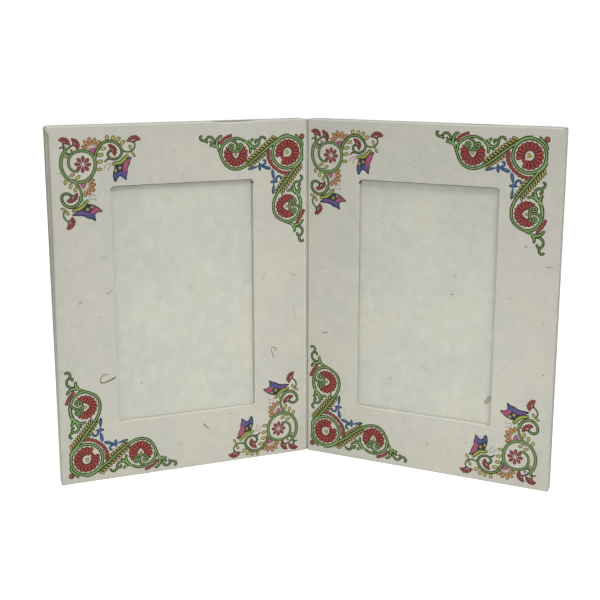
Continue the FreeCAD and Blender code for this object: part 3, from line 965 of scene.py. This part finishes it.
def palmette_corner():
    """Palmette in a ring, two scrolled palmettes, and leafy stems between them."""
    p = Print()
    # Beaded bands
    p.stroke(arc((61.1, 16.3), 11.3, 150, 186, 5), 0.5, "maroon", 0, None)
    p.beads(path(
        487, 150, 483, 176, 486, 197, 495, 216, 507, 234, 522, 250, 538, 263, 555, 275,
        574, 284, 595, 289, 619, 289), 11, 2.15)
    p.beads(path(177, 90, 191, 74, 212, 61, 242, 49), 5, 1.9)
    p.beads(path(717, 531, 707, 554, 692, 577, 676, 595), 5, 1.9)
    p.dot((70.7, 6.9), 1.5, 1.5, "deep", 0.3)
    p.dot((70.9, 6.9), 0.42, 0.42, "orange", 0, 2)
    # Blue flowers
    p.petals("steel", 0.3, "sky", (424, 239, 352, 257, 12.5), (434, 240, 501, 260, 17),
             (426, 214, 430, 266, 15), (523, 334, 510, 265, 17), (521, 348, 514, 417, 14),
             (553, 341, 499, 340, 15))
    p.stroke(path(
        432, 236, 452, 233, 465, 223, 464, 208, 449, 205), 1.0, "steel", 0.26, "sky", 0.9)
    p.stroke(path(
        534, 335, 538, 317, 552, 307, 568, 314, 565, 328), 1.0, "steel", 0.26, "sky", 0.9)
    for tip in ((35.7, 25.7), (43.0, 26.5), (51.4, 41.3), (50.1, 34.0)):
        p.dot(tip, 0.5, 0.45, "navy", 0, 2)
    p.over()
    # Leaves along the two stems
    p.rope((54.2, 7.6), (35.2, 21.9), (-3.5, -1.5), (-2.5, -1.2), 12, 1.0)
    p.rope((47.2, 15.4), (36.6, 23.2), (-0.7, 2.6), (-0.6, 2.0), 7, 0.85)
    p.rope((61.2, 30.7), (54.3, 39.7), (-3.0, 0.5), (-2.1, 0.7), 6, 0.9)
    p.rope((69.4, 22.7), (56.9, 39.7), (1.3, 3.9), (0.8, 2.6), 12, 0.95)
    p.over()
    # Stems and rings
    p.stroke(path(
        625, 59, 586, 64, 550, 82, 519, 105, 489, 124, 460, 145, 428, 171, 396, 196, 363, 219,
        328, 239, 292, 250, 254, 249, 219, 232, 195, 202, 180, 168, 168, 134, 152, 106, 144, 86,
        133, 66, 118, 54, 102, 54, 90, 65, 90, 79, 101, 87), 1.3, tail=0.7)
    p.stroke(path(
        710, 196, 696, 224, 667, 253, 638, 287, 613, 319, 590, 349, 568, 376, 549, 403,
        532, 432, 520, 464, 517, 498, 522, 530, 541, 559, 571, 580, 603, 594, 633, 607, 662, 621,
        692, 629, 710, 648, 709, 672, 693, 686, 677, 680, 677, 665), 1.3, tail=0.7)
    ring = arc((61.1, 16.3), 9.75, 0, 336, 15)
    p.stroke(ring + [ring[0]], 1.2)
    p.stroke(path(
        183, 156, 183, 126, 196, 102, 217, 86, 244, 73, 273, 67, 304, 71, 334, 86, 358, 93,
        375, 86, 386, 70), 1.2, tail=0.5)
    p.stroke(path(
        604, 594, 640, 588, 672, 566, 691, 534, 698, 500, 697, 470, 690, 444, 678, 420), 1.2,
        tail=1.6)
    p.over()
    # Crowns where the stems part
    for crown in (
            path(326, 82, 354, 86, 374, 76, 374, 102, 388, 120, 372, 124, 364, 132, 352, 106),
            path(644, 401, 664, 407, 662, 392, 676, 404, 693, 394, 693, 420, 695, 446, 680, 436,
                 666, 418),
            path(616, 594, 646, 609, 682, 610, 698, 612, 678, 626, 663, 630, 659, 646, 649, 629,
                 632, 611),
            path(134, 96, 150, 104, 154, 84, 164, 82, 162, 106, 170, 134, 159, 126, 149, 112)):
        p.patch(crown, "light", 0.3)
    p.over(2)
    # Scrolls and sprays of leaves
    for width, tail, head, line in (
            (0.85, 0.6, 0.9, path(91, 74, 74, 75, 58, 68, 50, 57, 56, 48, 64, 53)),
            (1.3, 0.5, 1.8, path(150, 113, 132, 101, 109, 106)),
            (0.6, 0.5, 0.9, path(136, 96, 122, 88, 112, 76)),
            (1.4, 0.6, 1.9, path(153, 109, 158, 74, 172, 54, 191, 51)),
            (1.5, 0.5, 1.7, path(346, 89, 364, 113, 369, 138, 365, 162)),
            (1.1, 0.5, 1.6, path(359, 103, 376, 118, 402, 142)),
            (0.85, 0.6, 1.2, path(372, 116, 394, 121, 414, 115, 425, 100, 421, 85, 407, 82,
             400, 92, 408, 99)),
            (0.85, 0.5, 0.9, path(425, 90, 432, 73, 446, 64, 461, 69, 469, 83)),
            (1.4, 0.5, 2.0, path(676, 422, 686, 400, 701, 385)),
            (1.4, 0.5, 2.0, path(674, 419, 653, 402, 629, 396, 607, 405)),
            (1.1, 0.5, 1.6, path(669, 414, 652, 389, 631, 372)),
            (0.85, 0.6, 1.3, path(663, 400, 653, 380, 653, 361, 666, 348, 683, 349, 693, 362,
             686, 375, 676, 370)),
            (0.85, 0.5, 0.9, path(686, 350, 703, 335, 707, 318, 692, 307)),
            (1.5, 0.5, 1.6, path(657, 620, 685, 614, 705, 602, 715, 584)),
            (1.5, 0.5, 1.9, path(646, 614, 658, 636, 657, 663)),
            (0.85, 0.6, 0.9, path(696, 686, 689, 704, 697, 720, 711, 722, 720, 712)),
            (1.3, 0.9, 0.8, path(664, 69, 686, 81, 704, 102, 712, 130)),
            (0.8, 0.5, 1.1, path(678, 74, 670, 61, 662, 56))):
        p.stroke(line, width, tail=tail, head=head)
    # Palmettes
    p.fan(path(
        583, 183, 585, 164, 590, 147, 604, 136, 622, 137, 635, 151, 637, 169, 628, 184,
        612, 191, 598, 193), arc((61.1, 16.3), 7.9, 156, 484), 15, 0.4)
    p.stroke(path(
        606, 194, 589, 200, 576, 194, 574, 182, 586, 174), 1.35, "red", 0.3, "scarlet", 1.0)
    for horn in (path(256, 154, 232, 146, 212, 117),
                 path(294, 154, 318, 146, 338, 117),
                 path(614, 472, 628, 449, 653, 433),
                 path(614, 522, 628, 545, 653, 559)):
        p.stroke(horn, 1.3, "red", 0.3, "scarlet", 0.5)
    p.fan(path(
        252, 148, 257, 164, 265, 178, 275, 188, 285, 178, 293, 164, 298, 148), path(205, 132,
        201, 150, 201, 172, 210, 197, 228, 218, 251, 231, 275, 235, 299, 231, 322, 218, 340, 197,
        349, 172, 349, 150, 345, 132), 10)
    p.fan(path(
        622, 468, 606, 474, 592, 484, 583, 497, 592, 510, 606, 520, 622, 526), path(639, 429,
        622, 424, 600, 423, 575, 431, 554, 448, 540, 471, 535, 497, 540, 524, 555, 547, 576, 562,
        600, 569, 622, 568, 639, 563), 11)
    p.over()
    p.patch(path(
        604, 149, 613, 156, 620, 167, 609, 171, 598, 172, 600, 160), "yellow", 0.34, False)
    p.dot((27.4, 15.9), 0.6, 1.0, "yellow", 0.34)
    p.dot((60.8, 49.7), 1.0, 0.6, "yellow", 0.34)
    p.over()
    # Scrolls in the palmettes' mouths
    scroll = path(-1, 143, -21, 142, -38, 131, -42, 115, -32, 104, -20, 108, -18, 120, -29, 122)
    for side in (1, -1):
        p.stroke([(27.5 + side * a, b) for a, b in scroll], 0.95, tail=0.9)
        p.stroke([(76.8 - b, 49.7 + side * a * 1.03) for a, b in scroll], 0.95, tail=0.9)
    p.stroke(path(250, 79, 270, 87, 283, 105, 282, 125, 275, 143), 0.9, tail=0.8)
    p.stroke(path(694, 518, 680, 500, 658, 491, 636, 493, 624, 498), 0.9, tail=0.8)
    return p


def ink_piece(leaf, name, *groups):
    """One flat piece of ink, from groups of shapes and what puts each group's points in place."""
    points, faces, colours = [], [], []
    for shapes, put in groups:
        for colour, outline, polygons, height in shapes:
            first = len(points)
            points += [put(a, b, height) for a, b in outline]
            faces += [tuple(first + i for i in polygon) for polygon in polygons]
            colours += [colour] * len(polygons)
    used = [colour for colour in INKS if colour in colours]
    piece = new_object(f"{leaf.name}_{name}", points, faces, [INKS[colour] for colour in used],
                       [used.index(colour) for colour in colours], False)
    face_forward(piece, leaf)
    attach(piece, leaf.body)


def apply_print(leaf, name, motif, corner, turned):
    """Lays a motif on a leaf's front paper. `corner` is where its own origin comes to lie."""
    way = -1 if turned else 1

    def put(a, b, height):
        x, z = corner[0] + way * a, corner[1] - way * b
        return leaf.place(x, leaf.sink(x, z) - (LOWEST + LAYER * height), leaf.settle(x, z))

    ink_piece(leaf, name, (motif.shapes, put))


def face_forward(piece, leaf):
    """Turns every face of a flat piece towards the viewer's side of its leaf."""
    front = leaf.place(0, -1, 0) - leaf.place(0, 0, 0)
    edit = bmesh.new()
    edit.from_mesh(piece.data)
    edit.normal_update()
    away = [f for f in edit.faces if f.normal.dot(front) < 0]
    bmesh.ops.reverse_faces(edit, faces=away)
    edit.to_mesh(piece.data)
    edit.free()


# Fibres and flecks that lie in the paper

MARKS = {
    # leaf: {ink: (width, x, z, x, z, ...) of each mark, in tenths of a millimetre}
    "left": {
        "fibre": (
            (8.5, 259, 632, 265, 622, 282, 619, 308, 626, 340, 639, 355, 648),
            (6, 260, 634, 266, 654, 284, 667, 312, 670)),
        "bark": ((5.5, 316, 630, 336, 638, 354, 647),),
        "fleck": (
            (5, 1376, 654, 1370, 681, 1365, 708, 1371, 722, 1390, 723, 1395, 709, 1384, 698),
            (6.2, 899, 278, 919, 257, 938, 237)),
        "dim": (
            (9.5, 146, 1117, 161, 1124, 173, 1131), (11, 316, 1165, 334, 1170),
            (6, 332, 1170, 346, 1180, 358, 1192), (6, 246, 691, 251, 692),
            (5, 1307, 1174, 1318, 1196, 1326, 1216), (6, 1492, 1204, 1512, 1182, 1534, 1180),
            (7, 1357, 1118, 1362, 1120), (4.2, 1506, 999, 1517, 968, 1523, 928, 1521, 882),
            (3.5, 1523, 888, 1553, 884), (7, 1404, 1490, 1408, 1491), (5, 726, 168, 741, 161),
            (5, 746, 156, 757, 150), (8, 1004, 322, 1009, 320), (4, 1072, 318, 1087, 317),
            (10, 872, 2088, 877, 2090), (6, 774, 609, 779, 609), (5, 646, 1117, 659, 1112)),
        "smudge": (
            (8, 139, 1090, 145, 1092), (7, 294, 1386, 311, 1393, 329, 1385),
            (9, 197, 930, 199, 940), (4, 51, 1349, 73, 1330, 96, 1304),
            (4, 1512, 1180, 1502, 1154, 1486, 1128), (5, 1355, 840, 1368, 860),
            (4.5, 588, 1959, 601, 1934, 611, 1899), (6, 603, 1842, 617, 1852),
            (4.5, 732, 1002, 769, 996), (9, 1051, 1390, 1057, 1391), (9, 1075, 814, 1081, 816),
            (5, 719, 1705, 738, 1708), (7, 456, 875, 461, 877),
            (5, 1031, 1166, 1043, 1122, 1050, 1106), (8, 395, 1157, 401, 1159),
            (5, 935, 548, 961, 545), (3.5, 1074, 968, 1112, 964)),
        "haze": (
            (17, 740, 1991, 768, 1995), (15, 660, 1960, 676, 1963), (16, 846, 2052, 864, 2056),
            (11, 450, 1346, 462, 1350), (8, 999, 1561, 1031, 1556), (9, 689, 1369, 704, 1349),
            (26, 840, 1170, 860, 1142)),
        "speck": ((12, 519, 582, 524, 585),),
    },
    "right": {
        "smudge": (
            (9, 150, 1454, 155, 1456), (6, 145, 1170, 153, 1197, 161, 1222),
            (3, 164, 1224, 198, 1244, 232, 1257), (6, 133, 1080, 154, 1084, 175, 1083),
            (8, 294, 1085, 299, 1087), (6, 1543, 1018, 1547, 1016), (7, 1456, 758, 1469, 761),
            (4, 1377, 818, 1417, 814), (8, 926, 1869, 931, 1869), (10, 826, 1863, 834, 1865),
            (8, 1557, 872, 1559, 882), (7, 1346, 1356, 1359, 1359), (19, 966, 1266, 976, 1250),
            (7, 909, 1271, 914, 1271), (22, 554, 564, 572, 556),
            (5.5, 773, 669, 793, 653, 826, 637), (7, 418, 1635, 423, 1635),
            (4.5, 434, 920, 454, 916), (8, 1017, 1223, 1021, 1211)),
        "fleck": ((6.2, 108, 813, 125, 814, 141, 817), (7.5, 945, 1139, 960, 1143)),
        "dim": (
            (14, 1389, 1474, 1408, 1473), (13, 1526, 1366, 1542, 1365),
            (6, 1542, 1365, 1568, 1364), (6, 1518, 1039, 1530, 1025), (12, 1529, 720, 1546, 721),
            (6, 1373, 566, 1378, 566), (7, 830, 197, 830, 182, 830, 167),
            (6, 1054, 325, 1059, 324), (8, 756, 919, 761, 919), (7, 994, 935, 999, 935),
            (11, 1020, 499, 1027, 498), (28, 1182, 486, 1200, 508, 1214, 540)),
        "haze": (
            (11, 1414, 1294, 1416, 1276), (11, 1440, 1252, 1441, 1240),
            (15, 1476, 1278, 1478, 1258), (12, 1426, 1139, 1440, 1139), (11, 972, 252, 981, 240),
            (11, 774, 1879, 782, 1867), (8, 800, 1979, 810, 1982), (14, 842, 1928, 856, 1933),
            (6, 883, 1938, 913, 1940), (12, 676, 2040, 696, 2042),
            (10, 478, 1540, 496, 1538, 511, 1533), (24, 874, 1574, 886, 1564),
            (9, 717, 1321, 749, 1330), (6, 953, 1712, 958, 1648), (9, 474, 1358, 482, 1348)),
        "bloom": (
            (8, 739, 431, 756, 401), (8, 1093, 1418, 1058, 1361),
            (6, 1050, 680, 1089, 635, 1129, 596), (6, 904, 410, 918, 369)),
    },
}


def inside(x, z, margin, top_gap=0.0):
    """Whether a place lies further in than `margin` from a leaf's edges, and more at its top."""
    return (margin < x < LEAF_WIDTH - margin
            and margin < z < LEAF_HEIGHT - margin - top_gap)


def scattered_fibres(leaf, count=45):
    """Faint fibres outside the window, scattered by a fixed seed."""
    chance = random.Random(int(leaf.seed) * 101)
    fibres = []
    while len(fibres) < count:
        x, z = chance.uniform(2, LEAF_WIDTH - 2), chance.uniform(2, LEAF_HEIGHT - 4)
        if inside(x, z, BORDER - 2):
            continue
        way, bend = chance.uniform(0, math.tau), chance.uniform(-0.5, 0.5)
        step = chance.uniform(0.4, 1.1)
        line = [(x, z)]
        for k in range(3):
            way += bend
            x, z = x + step * math.cos(way), z + step * math.sin(way)
            line.append((x, z))
        if all(inside(px, pz, 1.5, 0.5) for px, pz in line):
            colour = chance.choice(("fibre", "fleck", "ash", "ash", "feeler"))
            fibres.append((line, chance.uniform(0.09, 0.2), colour))
    return fibres


def paper_marks(leaf):
    """The fibres seen in the sheet and in the lining, and the scattered ones."""
    lines = [(path(*tenths), width / 10, colour)
             for colour, rows in MARKS[leaf.name].items() for width, *tenths in rows]
    on_front, in_window = Print(), Print()
    for line, width, colour in lines + scattered_fibres(leaf):
        marks = in_window if inside(*line[0], BORDER) else on_front
        marks.stroke(line, width, colour, 0, None)
    ink_piece(leaf, "paper_fibres",
              (on_front.shapes,
               lambda x, z, _: leaf.place(x, leaf.sink(x, z) - MARK_LIFT, leaf.settle(x, z))),
              (in_window.shapes,
               lambda x, z, _: leaf.place(x, LINING_FRONT - LINING_MARK_LIFT, z)))


# Materials of the CAD nodes that stay as they are

def dress_nodes():
    for leaf in LEAVES:
        for part, material in (("back_cover", BACKING), ("back_board", BOARD_GREY),
                               ("outer_spacer", CARD_GREY), ("hinge_spacer", CARD_GREY),
                               ("bottom_spacer", CARD_GREY)):
            node = frame["nodes"][f"{leaf.name}_{part}"]
            node.data.materials.clear()
            node.data.materials.append(material)


# Build

dress_nodes()
vines, palmettes = vine_corner(), palmette_corner()
# Where the motifs' own origins lie: at the top left, the top right, low left and low right
PLACES = {
    "left": ((5.6, 212.0), (86.6, 212.0), (76.85, -1.6), (156.35, -0.75)),
    "right": ((0.4, 212.35), (78.75, 215.9), (74.3, -1.0), (154.5, 0.6)),
}
for leaf in LEAVES:
    front_cover(leaf)
    window_board(leaf)
    lining(leaf)
    top_left, top_right, low_left, low_right = PLACES[leaf.name]
    apply_print(leaf, "vine_print_top", vines, top_left, False)
    apply_print(leaf, "palmette_print_top", palmettes, top_right, False)
    apply_print(leaf, "palmette_print_low", palmettes, low_left, True)
    apply_print(leaf, "vine_print_low", vines, low_right, True)
    paper_marks(leaf)
hinge_paper()


# Camera, light and floor

bpy.context.scene.view_settings.view_transform = "Standard"

LAMPS = (
    # name, place, what it points at, size, power
    ("key", (0.52, -1.02, 1.47), (0, 0, 0.1), 0.4, 7.4),
    ("front", (0.3, -1.5, 0.9), (0, 0, 0.1), 0.9, 2.6),
    ("top", (0.0, -0.45, 1.3), (0, -0.35, 0), 0.5, 2.0),
    ("low", (0.025, -0.21, 0.02), (0, 0.02, 0.05), 0.12, 0.21),
)
SKY = 0.37


def place_camera():
    camera = bpy.data.objects.new("camera", bpy.data.cameras.new("camera"))
    camera.data.lens = 69.19
    camera.data.sensor_width = 36
    camera.data.clip_start = 0.01
    camera.location = (0.0199, -0.6850, 0.2683)
    camera.rotation_euler = (math.radians(90 - 13.13), 0, math.radians(1.93))
    bpy.context.scene.collection.objects.link(camera)
    bpy.context.scene.camera = camera


def add_lamp(name, place, aim, size, power):
    lamp = bpy.data.lights.new(name, "AREA")
    lamp.size = size
    lamp.energy = power
    stand = bpy.data.objects.new(name, lamp)
    stand.location = place
    stand.rotation_euler = (Vector(aim) - Vector(place)).to_track_quat("-Z", "Y").to_euler()
    stand.visible_camera = False
    bpy.context.scene.collection.objects.link(stand)


def seen_directly(n):
    """1 for rays from the camera, and in what mirrors and glass show, and 0 for others."""
    rays = n.add("LightPath", {}).outputs
    seen = n.maths("MAXIMUM", rays["Is Camera Ray"], rays["Is Glossy Ray"])
    return n.maths("MAXIMUM", seen, rays["Is Transmission Ray"])


def add_world():
    world = bpy.data.worlds.new("studio")
    bpy.context.scene.world = world
    world.use_nodes = True
    n = Nodes(world.node_tree)
    soft = n.tree.nodes["Background"]
    soft.inputs["Color"].default_value = (0.98, 0.99, 1.0, 1)
    soft.inputs["Strength"].default_value = SKY
    white = n.add("Background", {"Color": (1, 1, 1, 1), "Strength": 1.0})
    chosen = n.add("MixShader", {0: seen_directly(n), 1: soft.outputs[0], 2: white.outputs[0]})
    n.feed(n.tree.nodes["World Output"].inputs[0], chosen.outputs[0])


def add_floor():
    half = 2.5
    floor = new_object("floor", [(-half, -half, 0), (half, -half, 0), (half, half, 0),
                                 (-half, half, 0)], [(0, 1, 2, 3)])
    material, n = new_material("white_floor")
    shader = n.tree.nodes["Principled BSDF"]
    for name, value in (("Base Color", (0.86, 0.86, 0.85, 1)), ("Roughness", 0.95),
                        ("Specular IOR Level", 0.0), ("Emission Color", (1, 1, 1, 1)),
                        ("Emission Strength", n.maths("MULTIPLY", seen_directly(n), 0.75))):
        n.feed(shader.inputs[name], value)
    floor.data.materials.append(material)


place_camera()
add_world()
for lamp in LAMPS:
    add_lamp(*lamp)
add_floor()
